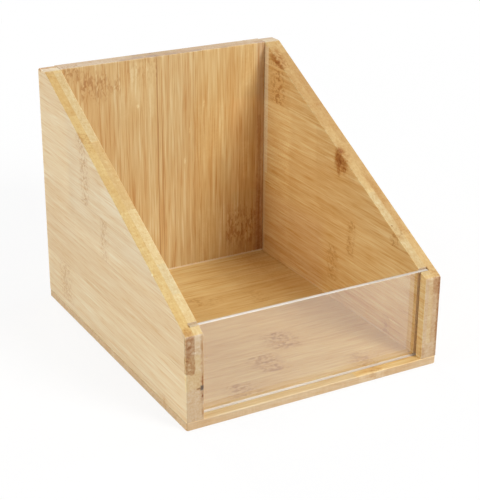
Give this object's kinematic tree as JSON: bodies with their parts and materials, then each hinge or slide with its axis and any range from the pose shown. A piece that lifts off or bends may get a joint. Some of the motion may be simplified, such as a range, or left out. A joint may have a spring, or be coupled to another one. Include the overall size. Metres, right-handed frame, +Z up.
{
  "type": "desk organizer",
  "caption": "Open-top bamboo desk organizer with sloping sides and a clear front window that lifts out of a groove in each side.",
  "frame": {"origin": "centre of the base's underside, which is the centre of the bounding box's lower face", "axes": "+X to the right seen from the front, +Y from the window to the tall back, +Z up"},
  "size_m": [0.155, 0.185, 0.1444],
  "materials": {
    "bamboo_base": "satin clear-coated bamboo, one ply, grain along X",
    "bamboo_side": "satin clear-coated bamboo, two plies, grain along Y",
    "bamboo_back": "satin clear-coated bamboo, two plies, grain along Z",
    "clear_acrylic": "clear polished acrylic sheet with saw-cut, lightly frosted edges",
    "screw_steel": "zinc-plated countersunk screws with a cross recess",
    "dowel_wood": "plain beech pins"
  },
  "bodies": {
    "bin": {"base_board": "bamboo_base", "left_side": "bamboo_side", "right_side": "bamboo_side", "back_panel": "bamboo_back", "left_base_screws": "screw_steel", "right_base_screws": "screw_steel", "back_base_screws": "screw_steel", "left_corner_dowels": "dowel_wood", "right_corner_dowels": "dowel_wood"},
    "window": {"front_window": "clear_acrylic"}
  },
  "joints": [
    {"name": "window_lift", "type": "slide", "parent": "bin", "child": "window", "axis": [0, 0, 1], "range_m": [0, 0.06]}
  ]
}
